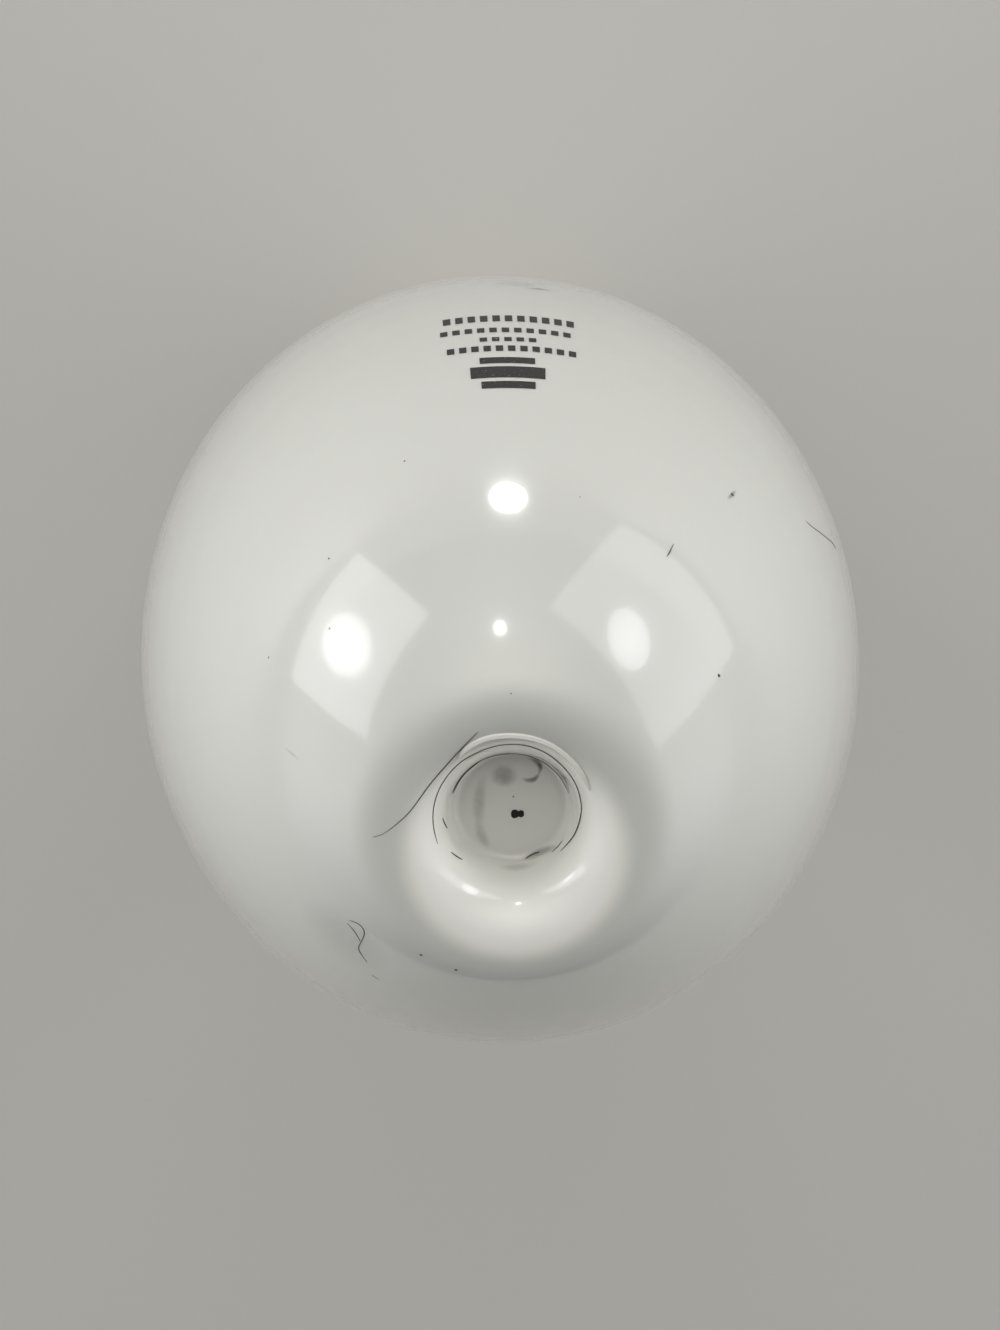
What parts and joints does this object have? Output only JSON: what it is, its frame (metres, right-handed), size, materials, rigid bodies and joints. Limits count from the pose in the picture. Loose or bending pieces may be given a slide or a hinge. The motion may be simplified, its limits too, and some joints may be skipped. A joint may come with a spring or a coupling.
{
  "type": "mercury vapor lamp",
  "caption": "White coated ellipsoid discharge bulb with a dimpled crown on a mogul screw base, its arc tube hung in a wire frame inside. Lights yards and halls.",
  "frame": {"origin": "middle of the centre contact's face, on the lamp's axis", "axes": "+Z along the lamp's axis from the contact to the crown; +X towards the rod beside the rim solder"},
  "size_m": [0.089, 0.089, 0.211],
  "materials": {
    "coated_glass": "glossy outside, white phosphor coat inside",
    "clear_glass": "clear",
    "quartz": "clear",
    "dark_glass": "glossy black",
    "nickelled_brass": "nickel plated, rolled",
    "contact_brass": "stamped",
    "solder": "dull, cast",
    "cement": "matt",
    "lead_wire": "drawn",
    "frame_steel": "nickel plated",
    "tungsten": "sintered",
    "foil": "rolled",
    "mercury": "liquid mirror",
    "resistor_ceramic": "matt glaze"
  },
  "bodies": {
    "root": {"base_shell": "nickelled_brass", "base_insulator": "dark_glass", "centre_contact": "contact_brass", "contact_solder": "solder", "shell_solder": "solder", "basing_cement": "cement", "outer_bulb": "coated_glass", "stem": "clear_glass", "shell_lead": "lead_wire", "contact_lead": "lead_wire", "frame_tie": "frame_steel", "right_rod": "frame_steel", "left_rod": "frame_steel", "crosswire": "frame_steel", "stem_strap": "frame_steel", "lower_strap": "frame_steel", "upper_strap": "frame_steel", "dimple_strap": "frame_steel", "arc_tube": "quartz", "upper_electrode": "tungsten", "lower_electrode": "tungsten", "starter_electrode": "tungsten", "upper_foil": "foil", "lower_foil": "foil", "starter_foil": "foil", "upper_arc_lead": "lead_wire", "lower_arc_lead": "lead_wire", "starter_lead": "lead_wire", "mercury_bead": "mercury", "starting_resistor": "resistor_ceramic", "resistor_inner_lead": "lead_wire", "resistor_outer_lead": "lead_wire"}
  },
  "joints": []
}
